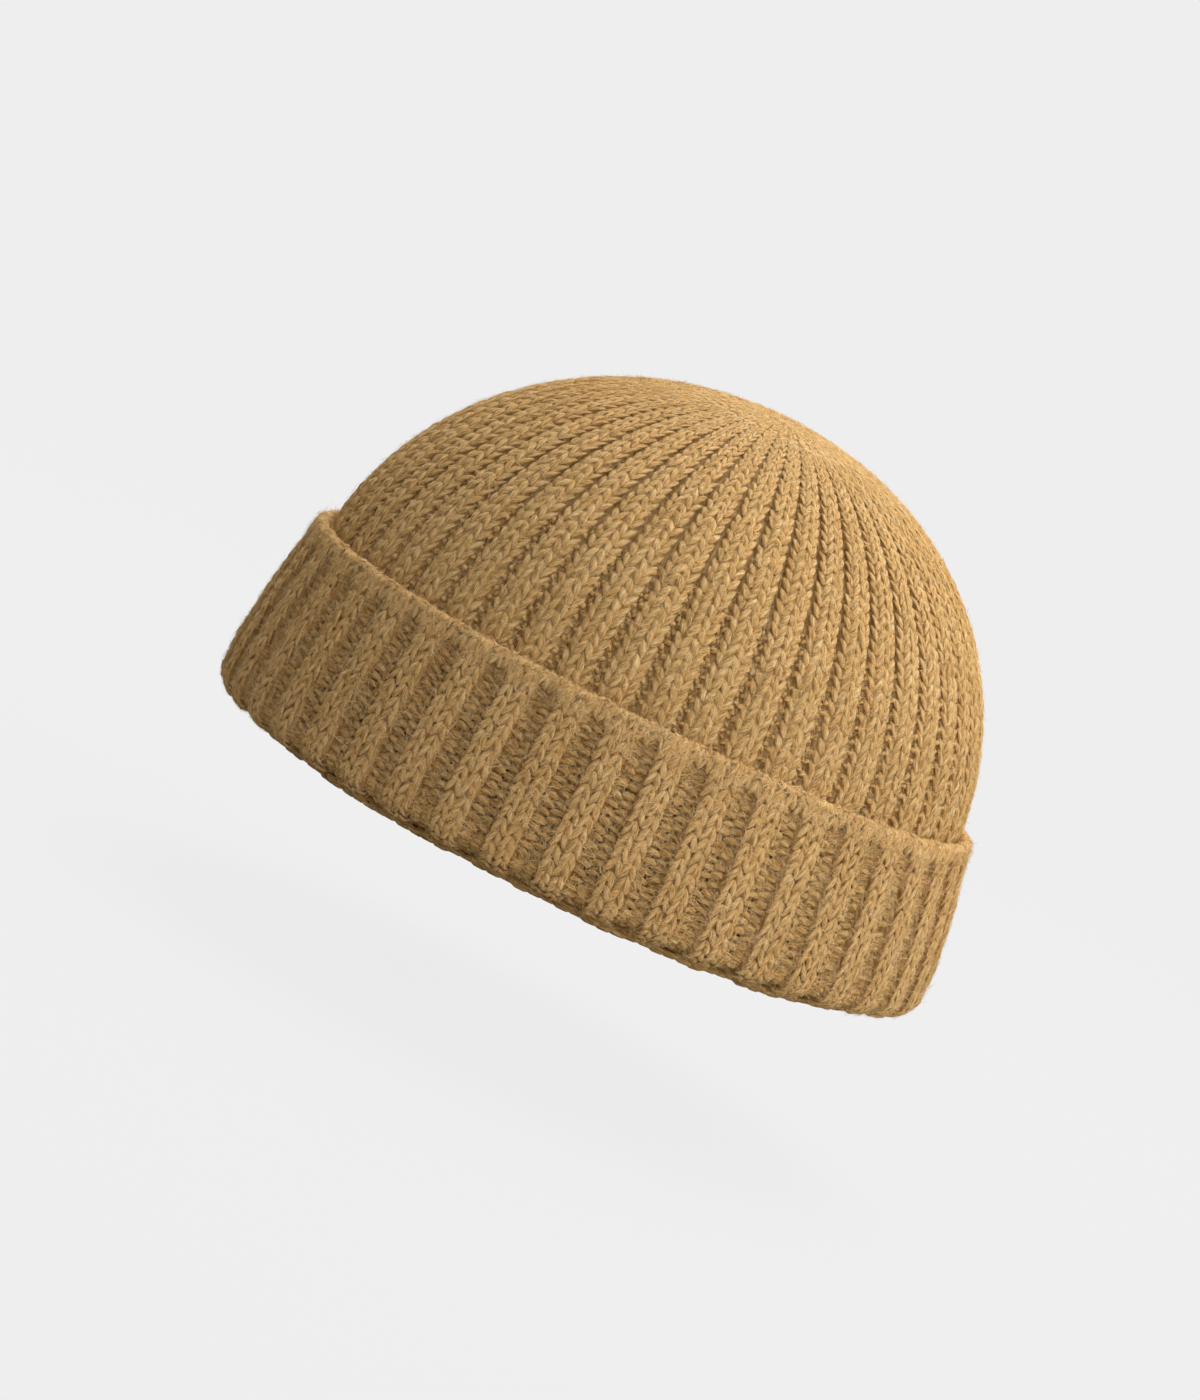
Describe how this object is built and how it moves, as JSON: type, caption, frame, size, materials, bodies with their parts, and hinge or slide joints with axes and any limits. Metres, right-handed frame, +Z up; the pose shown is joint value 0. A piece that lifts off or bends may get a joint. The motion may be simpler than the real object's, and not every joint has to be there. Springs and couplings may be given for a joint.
{
  "type": "knitted watch cap",
  "caption": "Close-fitting rib-knit watch cap in camel wool, a ribbed dome gathered at the top over a wide turn-up cuff that folds down about its lower edge.",
  "frame": {"origin": "centre of the rim plane, at the underside of the rim", "axes": "+Z up through the crown, -Y towards the wearer's face, +Y towards the back seam"},
  "size_m": [0.1998, 0.1998, 0.127],
  "materials": {
    "camel_wool_rib": "matte",
    "camel_yarn": "matte",
    "sewing_thread": "satin",
    "label_satin": "satin"
  },
  "bodies": {
    "shell": {"rim_roll": "camel_wool_rib", "side_wall": "camel_wool_rib", "crown_dome": "camel_wool_rib", "crown_cap": "camel_wool_rib", "crown_gather_yarn": "camel_yarn", "crown_knot": "camel_yarn", "back_seam": "sewing_thread", "label_tack_left": "sewing_thread", "label_tack_right": "sewing_thread"},
    "cuff_01": {"cuff_rib_01": "camel_wool_rib"},
    "cuff_02": {"cuff_rib_02": "camel_wool_rib"},
    "cuff_03": {"cuff_rib_03": "camel_wool_rib"},
    "cuff_04": {"cuff_rib_04": "camel_wool_rib"},
    "cuff_05": {"cuff_rib_05": "camel_wool_rib"},
    "cuff_06": {"cuff_rib_06": "camel_wool_rib"},
    "cuff_07": {"cuff_rib_07": "camel_wool_rib"},
    "cuff_08": {"cuff_rib_08": "camel_wool_rib"},
    "cuff_09": {"cuff_rib_09": "camel_wool_rib"},
    "cuff_10": {"cuff_rib_10": "camel_wool_rib"},
    "cuff_11": {"cuff_rib_11": "camel_wool_rib"},
    "cuff_12": {"cuff_rib_12": "camel_wool_rib"},
    "cuff_13": {"cuff_rib_13": "camel_wool_rib"},
    "cuff_14": {"cuff_rib_14": "camel_wool_rib"},
    "cuff_15": {"cuff_rib_15": "camel_wool_rib"},
    "cuff_16": {"cuff_rib_16": "camel_wool_rib"},
    "cuff_17": {"cuff_rib_17": "camel_wool_rib"},
    "cuff_18": {"cuff_rib_18": "camel_wool_rib"},
    "cuff_19": {"cuff_rib_19": "camel_wool_rib"},
    "cuff_20": {"cuff_rib_20": "camel_wool_rib"},
    "cuff_21": {"cuff_rib_21": "camel_wool_rib"},
    "cuff_22": {"cuff_rib_22": "camel_wool_rib"},
    "cuff_23": {"cuff_rib_23": "camel_wool_rib"},
    "cuff_24": {"cuff_rib_24": "camel_wool_rib"},
    "cuff_25": {"cuff_rib_25": "camel_wool_rib"},
    "cuff_26": {"cuff_rib_26": "camel_wool_rib"},
    "cuff_27": {"cuff_rib_27": "camel_wool_rib"},
    "cuff_28": {"cuff_rib_28": "camel_wool_rib"},
    "cuff_29": {"cuff_rib_29": "camel_wool_rib"},
    "cuff_30": {"cuff_rib_30": "camel_wool_rib"},
    "cuff_31": {"cuff_rib_31": "camel_wool_rib"},
    "cuff_32": {"cuff_rib_32": "camel_wool_rib"},
    "cuff_33": {"cuff_rib_33": "camel_wool_rib"},
    "cuff_34": {"cuff_rib_34": "camel_wool_rib"},
    "cuff_35": {"cuff_rib_35": "camel_wool_rib"},
    "cuff_36": {"cuff_rib_36": "camel_wool_rib"},
    "cuff_37": {"cuff_rib_37": "camel_wool_rib"},
    "cuff_38": {"cuff_rib_38": "camel_wool_rib"},
    "cuff_39": {"cuff_rib_39": "camel_wool_rib"},
    "cuff_40": {"cuff_rib_40": "camel_wool_rib"},
    "cuff_41": {"cuff_rib_41": "camel_wool_rib"},
    "cuff_42": {"cuff_rib_42": "camel_wool_rib"},
    "label": {"care_label": "label_satin"}
  },
  "joints": [
    {"name": "cuff_turn_01", "type": "hinge", "parent": "shell", "child": "cuff_01", "pos_m": [0.0949, 0, 0.0075], "axis": [0, 1, 0], "range_deg": [0, 180]},
    {"name": "cuff_turn_02", "type": "hinge", "parent": "shell", "child": "cuff_02", "pos_m": [0.09384, 0.01414, 0.0075], "axis": [-0.149, 0.9888, 0], "range_deg": [0, 180]},
    {"name": "cuff_turn_03", "type": "hinge", "parent": "shell", "child": "cuff_03", "pos_m": [0.09068, 0.02797, 0.0075], "axis": [-0.2948, 0.9556, 0], "range_deg": [0, 180]},
    {"name": "cuff_turn_04", "type": "hinge", "parent": "shell", "child": "cuff_04", "pos_m": [0.0855, 0.04118, 0.0075], "axis": [-0.4339, 0.901, 0], "range_deg": [0, 180]},
    {"name": "cuff_turn_05", "type": "hinge", "parent": "shell", "child": "cuff_05", "pos_m": [0.07841, 0.05346, 0.0075], "axis": [-0.5633, 0.8262, 0], "range_deg": [0, 180]},
    {"name": "cuff_turn_06", "type": "hinge", "parent": "shell", "child": "cuff_06", "pos_m": [0.06957, 0.06455, 0.0075], "axis": [-0.6802, 0.7331, 0], "range_deg": [0, 180]},
    {"name": "cuff_turn_07", "type": "hinge", "parent": "shell", "child": "cuff_07", "pos_m": [0.05917, 0.0742, 0.0075], "axis": [-0.7818, 0.6235, 0], "range_deg": [0, 180]},
    {"name": "cuff_turn_08", "type": "hinge", "parent": "shell", "child": "cuff_08", "pos_m": [0.04745, 0.08219, 0.0075], "axis": [-0.866, 0.5, 0], "range_deg": [0, 180]},
    {"name": "cuff_turn_09", "type": "hinge", "parent": "shell", "child": "cuff_09", "pos_m": [0.03467, 0.08834, 0.0075], "axis": [-0.9309, 0.3653, 0], "range_deg": [0, 180]},
    {"name": "cuff_turn_10", "type": "hinge", "parent": "shell", "child": "cuff_10", "pos_m": [0.02112, 0.09252, 0.0075], "axis": [-0.9749, 0.2225, 0], "range_deg": [0, 180]},
    {"name": "cuff_turn_11", "type": "hinge", "parent": "shell", "child": "cuff_11", "pos_m": [0.00709, 0.09463, 0.0075], "axis": [-0.9972, 0.0747, 0], "range_deg": [0, 180]},
    {"name": "cuff_turn_12", "type": "hinge", "parent": "shell", "child": "cuff_12", "pos_m": [-0.00709, 0.09463, 0.0075], "axis": [-0.9972, -0.0747, 0], "range_deg": [0, 180]},
    {"name": "cuff_turn_13", "type": "hinge", "parent": "shell", "child": "cuff_13", "pos_m": [-0.02112, 0.09252, 0.0075], "axis": [-0.9749, -0.2225, 0], "range_deg": [0, 180]},
    {"name": "cuff_turn_14", "type": "hinge", "parent": "shell", "child": "cuff_14", "pos_m": [-0.03467, 0.08834, 0.0075], "axis": [-0.9309, -0.3653, 0], "range_deg": [0, 180]},
    {"name": "cuff_turn_15", "type": "hinge", "parent": "shell", "child": "cuff_15", "pos_m": [-0.04745, 0.08219, 0.0075], "axis": [-0.866, -0.5, 0], "range_deg": [0, 180]},
    {"name": "cuff_turn_16", "type": "hinge", "parent": "shell", "child": "cuff_16", "pos_m": [-0.05917, 0.0742, 0.0075], "axis": [-0.7818, -0.6235, 0], "range_deg": [0, 180]},
    {"name": "cuff_turn_17", "type": "hinge", "parent": "shell", "child": "cuff_17", "pos_m": [-0.06957, 0.06455, 0.0075], "axis": [-0.6802, -0.7331, 0], "range_deg": [0, 180]},
    {"name": "cuff_turn_18", "type": "hinge", "parent": "shell", "child": "cuff_18", "pos_m": [-0.07841, 0.05346, 0.0075], "axis": [-0.5633, -0.8262, 0], "range_deg": [0, 180]},
    {"name": "cuff_turn_19", "type": "hinge", "parent": "shell", "child": "cuff_19", "pos_m": [-0.0855, 0.04118, 0.0075], "axis": [-0.4339, -0.901, 0], "range_deg": [0, 180]},
    {"name": "cuff_turn_20", "type": "hinge", "parent": "shell", "child": "cuff_20", "pos_m": [-0.09068, 0.02797, 0.0075], "axis": [-0.2948, -0.9556, 0], "range_deg": [0, 180]},
    {"name": "cuff_turn_21", "type": "hinge", "parent": "shell", "child": "cuff_21", "pos_m": [-0.09384, 0.01414, 0.0075], "axis": [-0.149, -0.9888, 0], "range_deg": [0, 180]},
    {"name": "cuff_turn_22", "type": "hinge", "parent": "shell", "child": "cuff_22", "pos_m": [-0.0949, 0, 0.0075], "axis": [0, -1, 0], "range_deg": [0, 180]},
    {"name": "cuff_turn_23", "type": "hinge", "parent": "shell", "child": "cuff_23", "pos_m": [-0.09384, -0.01414, 0.0075], "axis": [0.149, -0.9888, 0], "range_deg": [0, 180]},
    {"name": "cuff_turn_24", "type": "hinge", "parent": "shell", "child": "cuff_24", "pos_m": [-0.09068, -0.02797, 0.0075], "axis": [0.2948, -0.9556, 0], "range_deg": [0, 180]},
    {"name": "cuff_turn_25", "type": "hinge", "parent": "shell", "child": "cuff_25", "pos_m": [-0.0855, -0.04118, 0.0075], "axis": [0.4339, -0.901, 0], "range_deg": [0, 180]},
    {"name": "cuff_turn_26", "type": "hinge", "parent": "shell", "child": "cuff_26", "pos_m": [-0.07841, -0.05346, 0.0075], "axis": [0.5633, -0.8262, 0], "range_deg": [0, 180]},
    {"name": "cuff_turn_27", "type": "hinge", "parent": "shell", "child": "cuff_27", "pos_m": [-0.06957, -0.06455, 0.0075], "axis": [0.6802, -0.7331, 0], "range_deg": [0, 180]},
    {"name": "cuff_turn_28", "type": "hinge", "parent": "shell", "child": "cuff_28", "pos_m": [-0.05917, -0.0742, 0.0075], "axis": [0.7818, -0.6235, 0], "range_deg": [0, 180]},
    {"name": "cuff_turn_29", "type": "hinge", "parent": "shell", "child": "cuff_29", "pos_m": [-0.04745, -0.08219, 0.0075], "axis": [0.866, -0.5, 0], "range_deg": [0, 180]},
    {"name": "cuff_turn_30", "type": "hinge", "parent": "shell", "child": "cuff_30", "pos_m": [-0.03467, -0.08834, 0.0075], "axis": [0.9309, -0.3653, 0], "range_deg": [0, 180]},
    {"name": "cuff_turn_31", "type": "hinge", "parent": "shell", "child": "cuff_31", "pos_m": [-0.02112, -0.09252, 0.0075], "axis": [0.9749, -0.2225, 0], "range_deg": [0, 180]},
    {"name": "cuff_turn_32", "type": "hinge", "parent": "shell", "child": "cuff_32", "pos_m": [-0.00709, -0.09463, 0.0075], "axis": [0.9972, -0.0747, 0], "range_deg": [0, 180]},
    {"name": "cuff_turn_33", "type": "hinge", "parent": "shell", "child": "cuff_33", "pos_m": [0.00709, -0.09463, 0.0075], "axis": [0.9972, 0.0747, 0], "range_deg": [0, 180]},
    {"name": "cuff_turn_34", "type": "hinge", "parent": "shell", "child": "cuff_34", "pos_m": [0.02112, -0.09252, 0.0075], "axis": [0.9749, 0.2225, 0], "range_deg": [0, 180]},
    {"name": "cuff_turn_35", "type": "hinge", "parent": "shell", "child": "cuff_35", "pos_m": [0.03467, -0.08834, 0.0075], "axis": [0.9309, 0.3653, 0], "range_deg": [0, 180]},
    {"name": "cuff_turn_36", "type": "hinge", "parent": "shell", "child": "cuff_36", "pos_m": [0.04745, -0.08219, 0.0075], "axis": [0.866, 0.5, 0], "range_deg": [0, 180]},
    {"name": "cuff_turn_37", "type": "hinge", "parent": "shell", "child": "cuff_37", "pos_m": [0.05917, -0.0742, 0.0075], "axis": [0.7818, 0.6235, 0], "range_deg": [0, 180]},
    {"name": "cuff_turn_38", "type": "hinge", "parent": "shell", "child": "cuff_38", "pos_m": [0.06957, -0.06455, 0.0075], "axis": [0.6802, 0.7331, 0], "range_deg": [0, 180]},
    {"name": "cuff_turn_39", "type": "hinge", "parent": "shell", "child": "cuff_39", "pos_m": [0.07841, -0.05346, 0.0075], "axis": [0.5633, 0.8262, 0], "range_deg": [0, 180]},
    {"name": "cuff_turn_40", "type": "hinge", "parent": "shell", "child": "cuff_40", "pos_m": [0.0855, -0.04118, 0.0075], "axis": [0.4339, 0.901, 0], "range_deg": [0, 180]},
    {"name": "cuff_turn_41", "type": "hinge", "parent": "shell", "child": "cuff_41", "pos_m": [0.09068, -0.02797, 0.0075], "axis": [0.2948, 0.9556, 0], "range_deg": [0, 180]},
    {"name": "cuff_turn_42", "type": "hinge", "parent": "shell", "child": "cuff_42", "pos_m": [0.09384, -0.01414, 0.0075], "axis": [0.149, 0.9888, 0], "range_deg": [0, 180]},
    {"name": "label_swing", "type": "hinge", "parent": "shell", "child": "label", "pos_m": [0, 0.0805, 0.036], "axis": [-1, 0, 0], "range_deg": [0, 150]}
  ],
  "couplings": [
    {"joint": "cuff_turn_02", "follows": "cuff_turn_01", "ratio": 1},
    {"joint": "cuff_turn_03", "follows": "cuff_turn_01", "ratio": 1},
    {"joint": "cuff_turn_04", "follows": "cuff_turn_01", "ratio": 1},
    {"joint": "cuff_turn_05", "follows": "cuff_turn_01", "ratio": 1},
    {"joint": "cuff_turn_06", "follows": "cuff_turn_01", "ratio": 1},
    {"joint": "cuff_turn_07", "follows": "cuff_turn_01", "ratio": 1},
    {"joint": "cuff_turn_08", "follows": "cuff_turn_01", "ratio": 1},
    {"joint": "cuff_turn_09", "follows": "cuff_turn_01", "ratio": 1},
    {"joint": "cuff_turn_10", "follows": "cuff_turn_01", "ratio": 1},
    {"joint": "cuff_turn_11", "follows": "cuff_turn_01", "ratio": 1},
    {"joint": "cuff_turn_12", "follows": "cuff_turn_01", "ratio": 1},
    {"joint": "cuff_turn_13", "follows": "cuff_turn_01", "ratio": 1},
    {"joint": "cuff_turn_14", "follows": "cuff_turn_01", "ratio": 1},
    {"joint": "cuff_turn_15", "follows": "cuff_turn_01", "ratio": 1},
    {"joint": "cuff_turn_16", "follows": "cuff_turn_01", "ratio": 1},
    {"joint": "cuff_turn_17", "follows": "cuff_turn_01", "ratio": 1},
    {"joint": "cuff_turn_18", "follows": "cuff_turn_01", "ratio": 1},
    {"joint": "cuff_turn_19", "follows": "cuff_turn_01", "ratio": 1},
    {"joint": "cuff_turn_20", "follows": "cuff_turn_01", "ratio": 1},
    {"joint": "cuff_turn_21", "follows": "cuff_turn_01", "ratio": 1},
    {"joint": "cuff_turn_22", "follows": "cuff_turn_01", "ratio": 1},
    {"joint": "cuff_turn_23", "follows": "cuff_turn_01", "ratio": 1},
    {"joint": "cuff_turn_24", "follows": "cuff_turn_01", "ratio": 1},
    {"joint": "cuff_turn_25", "follows": "cuff_turn_01", "ratio": 1},
    {"joint": "cuff_turn_26", "follows": "cuff_turn_01", "ratio": 1},
    {"joint": "cuff_turn_27", "follows": "cuff_turn_01", "ratio": 1},
    {"joint": "cuff_turn_28", "follows": "cuff_turn_01", "ratio": 1},
    {"joint": "cuff_turn_29", "follows": "cuff_turn_01", "ratio": 1},
    {"joint": "cuff_turn_30", "follows": "cuff_turn_01", "ratio": 1},
    {"joint": "cuff_turn_31", "follows": "cuff_turn_01", "ratio": 1},
    {"joint": "cuff_turn_32", "follows": "cuff_turn_01", "ratio": 1},
    {"joint": "cuff_turn_33", "follows": "cuff_turn_01", "ratio": 1},
    {"joint": "cuff_turn_34", "follows": "cuff_turn_01", "ratio": 1},
    {"joint": "cuff_turn_35", "follows": "cuff_turn_01", "ratio": 1},
    {"joint": "cuff_turn_36", "follows": "cuff_turn_01", "ratio": 1},
    {"joint": "cuff_turn_37", "follows": "cuff_turn_01", "ratio": 1},
    {"joint": "cuff_turn_38", "follows": "cuff_turn_01", "ratio": 1},
    {"joint": "cuff_turn_39", "follows": "cuff_turn_01", "ratio": 1},
    {"joint": "cuff_turn_40", "follows": "cuff_turn_01", "ratio": 1},
    {"joint": "cuff_turn_41", "follows": "cuff_turn_01", "ratio": 1},
    {"joint": "cuff_turn_42", "follows": "cuff_turn_01", "ratio": 1}
  ]
}
